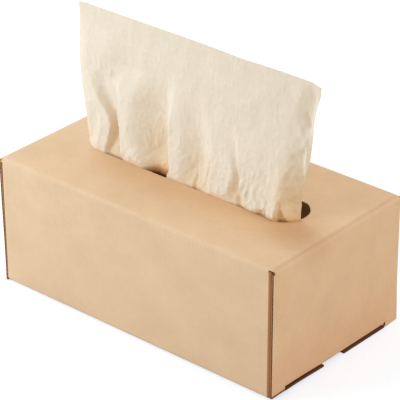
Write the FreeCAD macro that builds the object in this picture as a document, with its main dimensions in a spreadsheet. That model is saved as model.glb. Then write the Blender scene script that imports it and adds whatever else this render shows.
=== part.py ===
"""A kraft board carton of facial tissues, with one tissue standing in its slot.

Frame: millimetres, +Z up, +X along the carton. The origin is the centre of the footprint,
on the surface that the carton rests on.
"""

import os
from math import pi, sin

import FreeCAD
import Part
import Sketcher
from FreeCAD import Vector

DIMENSIONS = [
    # the carton, over its outside faces
    ("carton_length", 230.0),
    ("carton_width", 128.0),
    ("carton_height", 91.5),
    # the corrugated board, the outside radii of its creases and the air between its layers
    ("board", 1.6),
    ("top_crease", 3.0),
    ("corner_crease", 1.8),
    ("bottom_crease", 2.4),
    ("layer_gap", 0.4),
    # how far the slits at the corners run up into the top creases
    ("corner_slit_rise", 2.1),
    # the slot in the top panel, with round ends
    ("slot_length", 176.0),
    ("slot_width", 30.0),
    # the flaps on the ends of the long panels, tucked in a little way behind the end panels
    ("dust_gap", 1.2),
    ("dust_flap_length", 50.0),
    ("dust_flap_relief", 0.8),
    # the channel between the outer bottom flaps, which is nearer to the front
    ("channel_width", 17.0),
    ("channel_shift", -3.5),
    # the gap where the inner bottom flaps nearly meet, and the slits that free them from the feet
    ("end_flap_gap", 3.0),
    ("slit_width", 0.8),
    ("foot_width", 12.7),
    ("foot_gap", 0.3),
    # the room round the pile of folded tissues, and the clearance under each soft piece
    ("pile_end_gap", 10.6),
    ("pile_side_gap", 12.4),
    ("headroom", 41.0),
    ("pile_edge", 5.0),
    ("seat_gap", 0.3),
    # the tissue that stands in the slot: gathered at its neck, open and nearly flat at its top
    ("neck_end_gap", 7.0),
    ("neck_front_gap", 1.0),
    ("neck_back_gap", 12.4),
    ("tissue_slack", 2.0),
    ("tissue_shift", -1.5),
    ("tissue_rise", 93.5),
    ("tissue_ply", 1.0),
    ("pleat_at_top", 1.2),
]

# places that follow from the driving dimensions
PLACES = [
    ("end_inside", "carton_length / 2 - board"),
    ("dust_outside", "end_inside - dust_gap"),
    ("dust_inside", "dust_outside - board"),
    ("long_panel_end", "dust_outside - corner_crease"),
    ("side_inside", "carton_width / 2 - board"),
    ("crease_line", "carton_height - top_crease"),
    ("end_flap_bottom", "board + layer_gap"),
    ("end_flap_top", "end_flap_bottom + board"),
    ("dust_bottom", "end_flap_top + layer_gap"),
    ("foot_side", "carton_width / 2 - foot_width"),
    ("end_flap_side", "foot_side - slit_width"),
    ("slot_centre", "slot_length / 2 - slot_width / 2"),
    ("pile_end", "dust_inside - pile_end_gap"),
    ("pile_side", "side_inside - pile_side_gap"),
    ("pile_bottom", "end_flap_top + seat_gap"),
    ("pile_top", "carton_height - board - headroom"),
    ("neck_width", "slot_length - 2 * neck_end_gap"),
    ("neck_room", "slot_width - neck_front_gap - neck_back_gap - tissue_ply"),
    ("neck_middle", "( neck_front_gap - neck_back_gap ) / 2"),
    ("tissue_width", "2 * pile_end - tissue_slack"),
]

# A sketch's outline is cut a little past the faces that it opens.
BEYOND = "2"

doc = FreeCAD.newDocument("tissue_box")
cells = doc.addObject("Spreadsheet::Sheet", "dimensions")
for row, (alias, content) in enumerate(DIMENSIONS + PLACES, start=1):
    cells.set(f"A{row}", alias)
    cells.set(f"B{row}", str(content) if isinstance(content, float) else "=" + content)
    cells.setAlias(f"B{row}", alias)
doc.recompute()
ALIASES = [alias for alias, _ in DIMENSIONS + PLACES]


def value(formula):
    """What a formula in the sheet's aliases comes to."""
    return float(cells.evalExpression(formula))


def linked(formula):
    """The same formula for an object outside the sheet, which names the sheet in each alias."""
    words = formula.replace("(", "( ").replace(")", " )").split(" ")
    return " ".join("dimensions." + word if word in ALIASES else word for word in words)


def new_body(label):
    """A body whose label is its sub-part's name."""
    body = doc.addObject("PartDesign::Body", label + "_body")
    body.Label = label
    return body


def new_sketch(body, name, raised="0"):
    """A sketch on the body's own XY plane, raised by a formula."""
    ground = next(f for f in body.Origin.OriginFeatures if f.Role == "XY_Plane")
    sketch = body.newObject("Sketcher::SketchObject", name + "_sketch")
    sketch.AttachmentSupport = (ground, [""])
    sketch.MapMode = "FlatFace"
    sketch.setExpression("AttachmentOffset.Base.z", linked(raised))
    return sketch


def tie(sketch, kind, line, end, formula):
    """Holds one point of a sketch at a formula's distance from the origin, along X or Y."""
    index = sketch.addConstraint(Sketcher.Constraint(kind, -1, 1, line, end, value(formula)))
    sketch.setExpression(f"Constraints[{index}]", linked(formula))


def outline(sketch, corners):
    """A closed outline of straight sides. Each corner is two formulas, its X and its Y."""
    points = [Vector(value(x), value(y), 0) for x, y in corners]
    first = sketch.GeometryCount
    for start, end in zip(points, points[1:] + points[:1]):
        sketch.addGeometry(Part.LineSegment(start, end), False)
    for i in range(len(points)):
        following = first + (i + 1) % len(points)
        sketch.addConstraint(Sketcher.Constraint("Coincident", first + i, 2, following, 1))
    for i, (x, y) in enumerate(corners):
        tie(sketch, "DistanceX", first + i, 1, x)
        tie(sketch, "DistanceY", first + i, 1, y)


def rectangle(sketch, x_low, x_high, y_low, y_high):
    """A rectangle between four formulas."""
    outline(sketch, [(x_low, y_low), (x_high, y_low), (x_high, y_high), (x_low, y_high)])


def negative(formula):
    """The formula for the mirrored place."""
    return f"-1 * ( {formula} )"


def mirrored_x(corners):
    """An outline on the other side of the YZ plane."""
    return [(negative(x), y) for x, y in corners]


def mirrored_y(corners):
    """An outline on the other side of the XZ plane."""
    return [(x, negative(y)) for x, y in corners]


def pad(body, sketch, name, length):
    """Material upwards from a sketch."""
    feature = body.newObject("PartDesign::Pad", name)
    feature.Profile = sketch
    feature.setExpression("Length", linked(length))
    doc.recompute()
    return feature


def pocket(body, sketch, name, length, upwards=True):
    """A cut from a sketch. It has to take something away."""
    before = body.Shape.Volume
    feature = body.newObject("PartDesign::Pocket", name)
    feature.Profile = sketch
    feature.Reversed = upwards
    feature.setExpression("Length", linked(length))
    doc.recompute()
    if not feature.Shape.Volume < before - 1:
        raise RuntimeError(f"{name} cuts nothing")
    return feature


def round_edges(body, base, name, radius, wanted):
    """A fillet on the straight edges that the wanted test picks from their two ends."""
    names = []
    for number, edge in enumerate(base.Shape.Edges, start=1):
        ends = [vertex.Point for vertex in edge.Vertexes]
        if len(ends) == 2 and wanted(*ends):
            names.append(f"Edge{number}")
    if not names:
        raise RuntimeError(f"{name} finds no edges")
    feature = body.newObject("PartDesign::Fillet", name)
    feature.Base = (base, names)
    feature.setExpression("Radius", linked(radius))
    doc.recompute()
    return feature


def lies_at(point, **places):
    """Whether a point has the given coordinates, without regard to their sign."""
    return all(abs(abs(getattr(point, axis)) - place) < 1e-4 for axis, place in places.items())


def along(start, end, axis):
    """Whether an edge between two points runs along an axis."""
    run = end - start
    return abs(getattr(run, axis)) > run.Length - 1e-6 and run.Length > 1e-3


def edge_at(axis, **formulas):
    """A test for edges along an axis, at places given by formulas."""
    places = {name: value(formula) for name, formula in formulas.items()}

    def wanted(start, end):
        return along(start, end, axis) and lies_at(start, **places) and lies_at(end, **places)

    return wanted


def folded_cover(body):
    """The top panel with the four panels that hang from its creases, open underneath."""
    sketch = new_sketch(body, "cover")
    half_length, half_width = "carton_length / 2", "carton_width / 2"
    rectangle(sketch, negative(half_length), half_length, negative(half_width), half_width)
    block = pad(body, sketch, "cover", "carton_height")
    top = value("carton_height")
    rounded = round_edges(
        body, block, "top_creases", "top_crease", lambda *ends: min(end.z for end in ends) > top - 1e-4
    )
    underside = next(
        f"Face{number}"
        for number, face in enumerate(rounded.Shape.Faces, start=1)
        if face.BoundBox.ZMax < 1e-4
    )
    skin = body.newObject("PartDesign::Thickness", "board_skin")
    skin.Base = (rounded, [underside])
    skin.Reversed = True
    skin.setExpression("Value", linked("board"))
    doc.recompute()


def corner_slits(body):
    """Each long panel stops short of the end panels, whose cut edges show at the corners."""
    sketch = new_sketch(body, "corner_slits")
    past_face = f"carton_width / 2 + {BEYOND}"
    crease = "carton_width / 2 - top_crease"
    slit = [
        ("long_panel_end", crease),
        ("end_inside", crease),
        ("end_inside", past_face),
        ("long_panel_end", past_face),
    ]
    for corners in (slit, mirrored_x(slit), mirrored_y(slit), mirrored_x(mirrored_y(slit))):
        outline(sketch, corners)
    pocket(body, sketch, "corner_slits", "crease_line + corner_slit_rise")


def end_panel_feet(body):
    """An end panel stops above its inner flap and has a foot at each side of it."""
    past_end = f"carton_length / 2 + {BEYOND}"
    past_side = f"carton_width / 2 + {BEYOND}"
    for name, low, high, height in (
        ("feet", negative(past_side), past_side, "foot_gap"),
        ("flap_mouths", negative("foot_side"), "foot_side", "end_flap_bottom"),
    ):
        sketch = new_sketch(body, name)
        rectangle(sketch, "dust_outside", past_end, low, high)
        rectangle(sketch, negative(past_end), negative("dust_outside"), low, high)
        pocket(body, sketch, name, height)
    sketch = new_sketch(body, "flap_slits")
    slit = [
        ("dust_outside", "end_flap_side"),
        (past_end, "end_flap_side"),
        (past_end, "foot_side"),
        ("dust_outside", "foot_side"),
    ]
    for corners in (slit, mirrored_x(slit), mirrored_y(slit), mirrored_x(mirrored_y(slit))):
        outline(sketch, corners)
    pocket(body, sketch, "flap_slits", "end_flap_bottom + bottom_crease")


def dust_flaps(body):
    """The long panels turn in at each corner. Their flaps clear the inner bottom flaps."""
    sketch = new_sketch(body, "dust_flaps", "bottom_crease")
    tip = "carton_width / 2 - dust_flap_length"
    flap = [
        ("long_panel_end", "carton_width / 2"),
        ("long_panel_end", "side_inside"),
        ("dust_inside", "side_inside"),
        ("dust_inside", tip),
        ("dust_outside", tip),
        ("dust_outside", "carton_width / 2"),
    ]
    for corners in (flap, mirrored_x(flap), mirrored_y(flap), mirrored_x(mirrored_y(flap))):
        outline(sketch, corners)
    flaps = pad(body, sketch, "dust_flaps", "crease_line - dust_flap_relief - bottom_crease")
    outer = edge_at("z", x="dust_outside", y="carton_width / 2")
    creased = round_edges(body, flaps, "corner_creases", "corner_crease", outer)
    inner = edge_at("z", x="dust_inside", y="side_inside")
    round_edges(body, creased, "corner_creases_inside", "corner_crease - board", inner)
    sketch = new_sketch(body, "dust_flap_clearances", "bottom_crease")
    low, high = f"dust_inside - {BEYOND}", "dust_outside + dust_gap / 2"
    rectangle(sketch, low, high, negative("foot_side"), "foot_side")
    rectangle(sketch, negative(high), negative(low), negative("foot_side"), "foot_side")
    pocket(body, sketch, "dust_flap_clearances", "dust_bottom - bottom_crease")


def outer_flaps(body):
    """The bottom flaps of the long panels, with tabs that reach the end faces between the feet."""
    sketch = new_sketch(body, "outer_flaps")
    front_tip, back_tip = "channel_width / 2 - channel_shift", "channel_width / 2 + channel_shift"
    for tip, turned in ((front_tip, mirrored_y), (back_tip, list)):
        right = [
            ("long_panel_end", "carton_width / 2"),
            ("long_panel_end", "end_flap_side"),
            ("carton_length / 2", "end_flap_side"),
            ("carton_length / 2", tip),
        ]
        outline(sketch, turned(right + mirrored_x(right)[::-1]))
    flaps = pad(body, sketch, "outer_flaps", "board")
    outer = edge_at("x", y="carton_width / 2", z="0")
    creased = round_edges(body, flaps, "bottom_creases", "bottom_crease", outer)
    inner = edge_at("x", y="side_inside", z="board")
    round_edges(body, creased, "bottom_creases_inside", "bottom_crease - board", inner)


def end_flaps(body):
    """The inner bottom flaps of the end panels, which lie on the outer ones and nearly meet."""
    sketch = new_sketch(body, "end_flaps", "end_flap_bottom")
    tip, root, side = "end_flap_gap / 2", "carton_length / 2", "end_flap_side"
    rectangle(sketch, tip, root, negative(side), side)
    rectangle(sketch, negative(root), negative(tip), negative(side), side)
    flaps = pad(body, sketch, "end_flaps", "board")
    outer = edge_at("y", x="carton_length / 2", z="end_flap_bottom")
    creased = round_edges(body, flaps, "end_flap_creases", "bottom_crease", outer)
    inner = edge_at("y", x="end_inside", z="end_flap_top")
    round_edges(body, creased, "end_flap_creases_inside", "bottom_crease - board", inner)


def tissue_slot(body):
    """The slot in the top panel: two straight edges and two half circles."""
    sketch = new_sketch(body, "slot", "carton_height")
    centre, half = value("slot_centre"), value("slot_width / 2")
    for side in (1, -1):
        ends = Vector(-side * centre, -side * half, 0), Vector(side * centre, -side * half, 0)
        sketch.addGeometry(Part.LineSegment(*ends), False)
        circle = Part.Circle(Vector(side * centre, 0, 0), Vector(0, 0, 1), half)
        turn = -pi / 2 if side > 0 else pi / 2
        sketch.addGeometry(Part.ArcOfCircle(circle, turn, turn + pi), False)
    for curve in range(4):
        following = (curve + 1) % 4
        sketch.addConstraint(Sketcher.Constraint("Coincident", curve, 2, following, 1))
    for line, sign in ((0, 1), (2, -1)):
        tie(sketch, "DistanceX", line, 1, f"{-sign} * slot_centre")
        tie(sketch, "DistanceX", line, 2, f"{sign} * slot_centre")
        tie(sketch, "DistanceY", line, 1, f"{-sign} * slot_width / 2")
        tie(sketch, "DistanceY", line, 2, f"{-sign} * slot_width / 2")
        tie(sketch, "DistanceX", line + 1, 3, f"{sign} * slot_centre")
    pocket(body, sketch, "slot", "2 * board", upwards=False)


def make_carton():
    """The whole carton is one folded sheet of board, glued at its bottom flaps."""
    body = new_body("carton")
    folded_cover(body)
    corner_slits(body)
    end_panel_feet(body)
    dust_flaps(body)
    outer_flaps(body)
    end_flaps(body)
    tissue_slot(body)
    return body


def make_tissue_pile():
    """The folded tissues in the carton, a soft block with rounded long folds."""
    body = new_body("tissue_pile")
    sketch = new_sketch(body, "pile", "pile_bottom")
    rectangle(sketch, negative("pile_end"), "pile_end", negative("pile_side"), "pile_side")
    block = pad(body, sketch, "pile", "pile_top - pile_bottom")
    round_edges(body, block, "pile_folds", "pile_edge", edge_at("x", y="pile_side"))
    return body


def make_standing_tissue():
    """The next tissue, drawn up through the slot: pleated at its neck, nearly flat at its top."""
    size = {alias: value(alias) for alias in ALIASES}
    columns, rows = 49, 15

    def opened(low, high, height):
        """A size that is low up to the slot and high at the tissue's top, and eases between them."""
        share = max(0.0, height / size["tissue_rise"])
        return low + (high - low) * share * share * (3 - 2 * share)

    def point(across, height, offset):
        """A point of the tissue, at a share of its width and a height above the carton."""
        width = opened(size["neck_width"], size["tissue_width"], height)
        depth = opened(size["neck_room"] / 2, size["pleat_at_top"], height)
        middle = opened(size["neck_middle"], 0.0, height)
        broad = 0.65 * sin(2 * pi * (4.0 * across + 0.1))
        narrow = 0.35 * sin(2 * pi * (6.5 * across + 0.3))
        x = size["tissue_shift"] + (across - 0.5) * width
        y = middle + depth * (broad + narrow) + offset
        return Vector(x, y, size["carton_height"] + height)

    def face(offset):
        """One face of the tissue, moved off its middle."""
        low = value("pile_top + seat_gap - carton_height")
        heights = [low + (size["tissue_rise"] - low) * row / (rows - 1) for row in range(rows)]
        shares = [column / (columns - 1) for column in range(columns)]
        surface = Part.BSplineSurface()
        surface.interpolate([[point(across, height, offset) for across in shares] for height in heights])
        return surface.toShape()

    front, back = face(-size["tissue_ply"] / 2), face(size["tissue_ply"] / 2)
    rims = [Part.makeRuledSurface(a, b) for a, b in zip(front.Edges, back.Edges)]
    solid = Part.makeSolid(Part.makeShell([front, back] + rims))
    if solid.Volume < 0:
        solid.reverse()
    tissue = doc.addObject("Part::Feature", "standing_tissue")
    tissue.Label = "standing_tissue"
    tissue.Shape = solid
    tissue.Placement = FreeCAD.Placement()
    return tissue


SUB_PARTS = [make_carton(), make_tissue_pile(), make_standing_tissue()]
doc.recompute()

for obj in doc.Objects:
    if "Invalid" in obj.State or "Error" in obj.State:
        raise RuntimeError(f"{obj.Label} failed: {obj.State}")
for sub_part in SUB_PARTS:
    shape = sub_part.Shape
    if shape.isNull() or not shape.isValid() or len(shape.Solids) != 1:
        raise RuntimeError(f"{sub_part.Label} isn't one valid solid")

os.makedirs("parts", exist_ok=True)
for sub_part in SUB_PARTS:
    sub_part.Shape.exportStep(f"parts/{sub_part.Label}.step")
    box = sub_part.Shape.BoundBox
    print(f"{sub_part.Label}: {sub_part.Shape.Volume:.0f} mm3, {box}")
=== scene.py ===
"""A kraft board carton of facial tissues with one tissue standing in its slot: its looks.

Lengths are in millimetres until a mesh is made, and the frame is the CAD's: +Z up, +X along
the carton, the origin at the centre of its footprint. The carton is one sheet of corrugated
board, folded here as the real one is. Places on the flat blank are (u, v), measured from the
middle of the top panel: u towards the end panels, v towards the long panels.
"""

from math import ceil, cos, exp, hypot, pi, radians, sin

import bmesh
import bpy
import numpy as np
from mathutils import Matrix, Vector, noise


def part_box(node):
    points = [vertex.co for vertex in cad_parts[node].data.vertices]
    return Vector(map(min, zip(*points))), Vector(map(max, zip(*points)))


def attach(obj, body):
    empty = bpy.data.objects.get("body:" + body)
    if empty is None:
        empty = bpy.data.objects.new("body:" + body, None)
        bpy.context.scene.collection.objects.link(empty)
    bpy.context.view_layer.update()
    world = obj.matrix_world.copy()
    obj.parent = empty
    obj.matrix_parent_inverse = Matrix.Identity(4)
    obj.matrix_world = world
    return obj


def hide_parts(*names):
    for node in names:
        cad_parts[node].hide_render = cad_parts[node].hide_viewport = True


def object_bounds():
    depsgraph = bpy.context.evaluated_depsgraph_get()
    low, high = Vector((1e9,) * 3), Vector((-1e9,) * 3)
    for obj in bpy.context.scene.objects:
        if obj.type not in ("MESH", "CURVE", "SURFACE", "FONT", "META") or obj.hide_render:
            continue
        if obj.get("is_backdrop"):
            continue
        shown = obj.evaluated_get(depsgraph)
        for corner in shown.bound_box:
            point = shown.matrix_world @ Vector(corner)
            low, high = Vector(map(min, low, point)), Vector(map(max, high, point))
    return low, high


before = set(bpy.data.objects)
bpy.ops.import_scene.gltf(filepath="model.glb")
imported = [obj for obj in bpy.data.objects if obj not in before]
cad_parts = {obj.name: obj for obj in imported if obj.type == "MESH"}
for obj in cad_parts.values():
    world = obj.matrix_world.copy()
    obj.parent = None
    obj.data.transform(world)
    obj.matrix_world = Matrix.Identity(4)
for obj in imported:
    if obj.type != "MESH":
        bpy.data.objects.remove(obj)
CAD_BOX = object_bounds()

MM = 0.001

# the carton's outside, from its CAD solid
CARTON_LOW, CARTON_HIGH = ([edge / MM for edge in corner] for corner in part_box("carton"))
LENGTH = CARTON_HIGH[0] - CARTON_LOW[0]
WIDTH = CARTON_HIGH[1] - CARTON_LOW[1]
HEIGHT = CARTON_HIGH[2] - CARTON_LOW[2]

# the board, its creases, flaps and slot. They are the CAD's, but for the back flap's tip: a tip is
# how far a flap stays from the carton's middle, and the CAD's back flap comes up to 5.0
BOARD = 1.6
TOP_CREASE, CORNER_CREASE, BOTTOM_CREASE = 3.0, 1.8, 2.4
LAYER_GAP, DUST_GAP = 0.4, 1.2
SLOT_LENGTH, SLOT_WIDTH = 176.0, 30.0
DUST_FLAP_LENGTH, DUST_FLAP_RELIEF = 50.0, 0.8
FRONT_FLAP_TIP, BACK_FLAP_TIP, END_FLAP_TIP = 12.0, 8.5, 1.5
FOOT_SIDE, END_FLAP_SIDE, FOOT_GAP = 51.3, 50.5, 0.3

# the top creases are slit at the corners from this share of their turn down
SLIT_TURN = 0.5

# the board's papers: two liners and the fluted medium between them
LINER, MEDIUM = 0.3, 0.2
FLUTE_PITCH, FLUTE_SWING = 3.3, 0.38

# the share of its depth that the board loses where it is crushed, the creases' share of that and
# their reach, and how far from the slot's edge the crushing is full and then fades out
CRUSH = 0.4
CREASE_CRUSH, CREASE_REACH = 0.6, 2.0
RIM_FULL, RIM_FADE = 0.5, 3.0

# the flutes lie flat in the top panel's corners: how far from the creases this starts and is full
FLAT_START, FLAT_FULL = 5, 1

# a top crease has this many strips, and the flaps' fold up the corners reaches a share of its turn
FOLD_STRIPS = 6
CORNER_TURN = 4 / 6

# edges that turn by more degrees than this stay sharp
SHARP_ANGLE = 40

# the end panels' upright edges and the top's flattened corners end within this of the top's creases
PAST_TOP = 4

# how uneven the panels are: how much, the sizes of the broad and the finer waves, the finer ones'
# share, and how far from a panel's edges they start and are full
WARP = 0.45
BROAD_WAVE, FINE_WAVE, FINE_SHARE = 48, 17, 0.35
WARP_START, WARP_FULL = 3, 19

# the shallow groove where the end panels' top creases are scored
GROOVE_U, GROOVE_DEPTH, GROOVE_REACH = 0.6, 0.3, 1.1

# how far the front panel's upright edges are off their places, at the left and at the right: at the
# top and at the floor. And how far below the slit in its crease this is full
FRONT_SLIDE = (-0.9, -0.2), (0.9, 0.9)
SLIDE_START = 2

# how far the end panels' upright edges are pressed in, by the sides of x and y, at the top and floor,
# over what width, and how far below the top crease this is full
PINCH = {(-1, -1): (0.1, 1.7), (-1, 1): (0.4, 0.4), (1, -1): (0.0, 0.0), (1, 1): (0.8, 0.4)}
PINCH_WIDTH, PINCH_START = 10, 5

# the right end panel's foot is a little raised at the front: by how much, over what length, and up
# to what height. The panel stands out at the back: by how much, and up to what height
FOOT_RISE, FOOT_LENGTH, FOOT_TOP = 1.5, 45, 14
PANEL_FLARE, FLARE_TOP = 0.8, 30

# the front panel's bottom crease is off the floor: by how much, how far in, and up to what height
FRONT_RISE, FRONT_DEPTH, FRONT_TOP = 0.28, 14, 12

# a rise is full this far before it ends
RISE_EDGE = 2

# the slot's right end is a little askew: how far its tip is shifted along and across the carton
SLOT_SKEW = -1.0, 1.6

# its back edge bulges near that end: by how much, up to what place, and over what length
SLOT_BULGE, BULGE_END, BULGE_FADE = 1.9, 85, 9

# where the papers have extra rows and columns, for the slot's crushed edge and the corners
SLOT_ROWS = [0, 5, 9, 12, 14, 15, 16, 17, 18.5, 24]
CORNER_ROWS = [53, 55, 57, 59]
SLOT_COLUMNS, SLOT_COLUMN_STEP = [68, 93, 100, 102], 1.2
CORNER_COLUMNS = [104, 106, 108, 109.3]
CORNER_COLUMN = 111.3
PANEL_COLUMNS = 2, 5

# slack in comparing places, and the distance at which the patches' points are joined
TINY, WELD = 1e-6, 0.02

# places that follow
TOP_U = LENGTH / 2 - TOP_CREASE
TOP_V = WIDTH / 2 - TOP_CREASE
DUST_OUTSIDE = LENGTH / 2 - BOARD - DUST_GAP
LONG_U = DUST_OUTSIDE - CORNER_CREASE
END_FLAP_BOTTOM = BOARD + LAYER_GAP
DUST_BOTTOM = END_FLAP_BOTTOM + BOARD + LAYER_GAP
CREASE_LINE = HEIGHT - TOP_CREASE


def fold_length(radius):
    """How much of the board a quarter turn takes, along its middle."""
    return (radius - BOARD / 2) * pi / 2


# each way out from the middle of a panel: the lengths of its runs and the radii of the folds between
LONG_PANEL = CREASE_LINE - BOTTOM_CREASE
END_PANEL = CREASE_LINE - END_FLAP_BOTTOM - BOTTOM_CREASE
LONG_WAY = TOP_V, TOP_CREASE, LONG_PANEL, BOTTOM_CREASE, WIDTH
END_WAY = TOP_U, TOP_CREASE, END_PANEL, BOTTOM_CREASE, LENGTH
FOOT_WAY = TOP_U, TOP_CREASE, CREASE_LINE
DUST_WAY = LONG_U, CORNER_CREASE, WIDTH

# where the folds begin and end on the blank
LONG_V0 = TOP_V + fold_length(TOP_CREASE)
LONG_V1 = LONG_V0 + LONG_PANEL
FLAP_V0 = LONG_V1 + fold_length(BOTTOM_CREASE)
END_U0 = TOP_U + fold_length(TOP_CREASE)
END_U1 = END_U0 + END_PANEL
END_FLAP_U0 = END_U1 + fold_length(BOTTOM_CREASE)
FOOT_U1 = END_U0 + CREASE_LINE - FOOT_GAP
DUST_U0 = LONG_U + fold_length(CORNER_CREASE)


def ease(share):
    """Goes smoothly from 0 to 1."""
    share = min(1.0, max(0.0, share))
    return share * share * (3 - 2 * share)


def near(distance, reach):
    """1 on a line, falling smoothly to nearly 0 at twice the reach."""
    return exp(-((distance / reach) ** 2))


def side_of(place):
    return -1.0 if place < 0 else 1.0


def new_piece(name, bm):
    """An object made of a finished mesh."""
    data = bpy.data.meshes.new(name)
    bm.to_mesh(data)
    bm.free()
    piece = bpy.data.objects.new(name, data)
    bpy.context.scene.collection.objects.link(piece)
    return piece


# ---------------------------------------------------------------- folding the board


def travel(way, distance, depth):
    """How far out and how far down a point of a folded strip lies, at a depth in the board."""
    out, down, angle = 0.0, 0.0, 0.0
    for i, size in enumerate(way):
        folds = i % 2 == 1
        length = fold_length(size) if folds else size
        here = min(distance, length)
        if folds:
            middle = out - sin(angle) * size, down + cos(angle) * size
            angle += here / length * pi / 2
            out, down = middle[0] + sin(angle) * size, middle[1] - cos(angle) * size
        else:
            out, down = out + cos(angle) * here, down + sin(angle) * here
        distance -= here
        if distance <= 0:
            break
    return out - sin(angle) * depth, down + cos(angle) * depth


def on_long(u, v, depth):
    """A point of the top panel, the long panels or their bottom flaps."""
    out, down = travel(LONG_WAY, abs(v), depth)
    return u, side_of(v) * out, HEIGHT - down


def on_end(u, v, depth):
    """A point of the end panels or their bottom flaps."""
    out, down = travel(END_WAY, abs(u), depth)
    return side_of(u) * out, v, HEIGHT - down


def on_foot(u, v, depth):
    """A point of an end panel's feet, which don't fold."""
    out, down = travel(FOOT_WAY, abs(u), depth)
    return side_of(u) * out, v, HEIGHT - down


def on_dust(u, v, depth):
    """A point of the flaps on the ends of the long panels."""
    out, inward = travel(DUST_WAY, abs(u), depth)
    face, down = travel(LONG_WAY, abs(v), 0.0)
    return side_of(u) * out, side_of(v) * (face - inward), HEIGHT - down


def skewed(x):
    """How far a place along the slot takes part in the skew of its right end, from 0 to 1."""
    half = SLOT_WIDTH / 2
    return np.clip((x - SLOT_LENGTH / 2 + half) / half, 0, 1) ** 2


def slot_distance(u, v):
    """How far a point of the top panel lies outside the slot's edge."""
    past = max(0.0, abs(u) - (SLOT_LENGTH - SLOT_WIDTH) / 2)
    return hypot(past, v) - SLOT_WIDTH / 2


def crushed(kind, u, v):
    """How much the board is crushed, from 0 to 1, at its creases and round the die-cut slot."""
    u, v = abs(u), abs(v)
    across = near(u - (TOP_U + END_U0) / 2, CREASE_REACH)
    along = near(v - (TOP_V + LONG_V0) / 2, CREASE_REACH)
    if kind in (on_end, on_foot):
        along *= 1 - ease((u - END_U0) / (2 * CREASE_REACH))
    rim = 1 - ease((slot_distance(u, v) - RIM_FULL) / RIM_FADE) if v < TOP_V and u < TOP_U else 0.0
    return max(CREASE_CRUSH * across, CREASE_CRUSH * along, rim)


def pinched(kind, u, v):
    """How far an end panel's upright edges are pressed inwards, from just below its top crease."""
    if kind is on_long:
        return 0.0
    top, bottom = PINCH[side_of(u), side_of(v)]
    push = top + (bottom - top) * ease((abs(u) - END_U0) / END_PANEL)
    inner = TOP_V + 1 - PINCH_WIDTH
    return push * ease((abs(v) - inner) / PINCH_WIDTH) * ease((abs(u) - END_U0) / PINCH_START)


def relief(kind, u, v):
    """How far the board stands out of its CAD face: board panels are never quite flat.

    The last number of a place picks a slice of the noise, one for each kind of panel.
    """
    edge_u, edge_v = TOP_U - abs(u), TOP_V - abs(v)
    groove = GROOVE_DEPTH * near(-edge_u - GROOVE_U, GROOVE_REACH) if edge_v > -PAST_TOP else 0.0
    if kind is on_long and edge_v > 0:
        room, place = min(edge_u, edge_v), (u, v, 0)
    elif kind is on_long:
        room, place = min(LONG_U - abs(u), abs(v) - LONG_V0, LONG_V1 - abs(v)), (u, v, 30)
    elif kind in (on_end, on_foot):
        room, place = min(edge_v + PAST_TOP, abs(u) - END_U0, END_U1 - abs(u)), (u, v, 60)
    else:
        return 0.0
    wave = noise.noise(Vector(place) / BROAD_WAVE) + FINE_SHARE * noise.noise(Vector(place) / FINE_WAVE)
    full = ease((room - WARP_START) / (WARP_FULL - WARP_START))
    return WARP * wave * full - pinched(kind, u, v) - groove


def slide(kind, u, v):
    """How far the front panel is stretched along itself, from where its top crease is slit."""
    if kind not in (on_long, on_dust) or v > 0:
        return 0.0
    down = ease((-v - LONG_V0) / LONG_PANEL)
    left, right = (top + (bottom - top) * down for top, bottom in FRONT_SLIDE)
    share = (min(LONG_U, max(-LONG_U, u)) / LONG_U + 1) / 2
    slit = TOP_V + SLIT_TURN * (LONG_V0 - TOP_V)
    free = ease((-v - slit) / SLIDE_START)
    held = ease((abs(u) - LONG_U) / BOARD) if kind is on_long else 0.0
    return (left + (right - left) * share) * free * (1 - held)


def settled(kind, u, v, point):
    """A point of the carton where it stands, a little off its CAD place near the floor.

    The front panel's bottom crease is off the floor. The right end panel and the tabs below it are
    raised at the front and stand out at the back.
    """
    x, y, z = point
    if kind is on_long and v < 0:
        outer = ease((-y - WIDTH / 2 + FRONT_DEPTH) / (FRONT_DEPTH - RISE_EDGE))
        z += FRONT_RISE * outer * ease((FRONT_TOP - z) / (FRONT_TOP - RISE_EDGE))
    tab = kind is on_long and abs(v) > FLAP_V0
    if x > LONG_U and (tab or kind in (on_end, on_foot)):
        outer = ease((x - LONG_U) / (LENGTH / 2 - LONG_U))
        z += FOOT_RISE * outer * ease(-y / FOOT_LENGTH) * ease((FOOT_TOP - z) / (FOOT_TOP - RISE_EDGE))
        x += PANEL_FLARE * outer * ease(y / (WIDTH / 2)) * ease((FLARE_TOP - z) / FLARE_TOP)
    return x + slide(kind, u, v), y, z


def ticks(breaks, step):
    """Places through every break, from the first to the last, no more than a step apart."""
    places = []
    for low, high in zip(breaks, breaks[1:]):
        count = max(1, ceil((high - low) / step - TINY))
        places += [low + (high - low) * i / count for i in range(count)]
    return places + [breaks[-1]]


def both_ways(places):
    """The same places on both sides of the middle, which is the first of them."""
    return [-place for place in reversed(places[1:])] + list(places)


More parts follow.
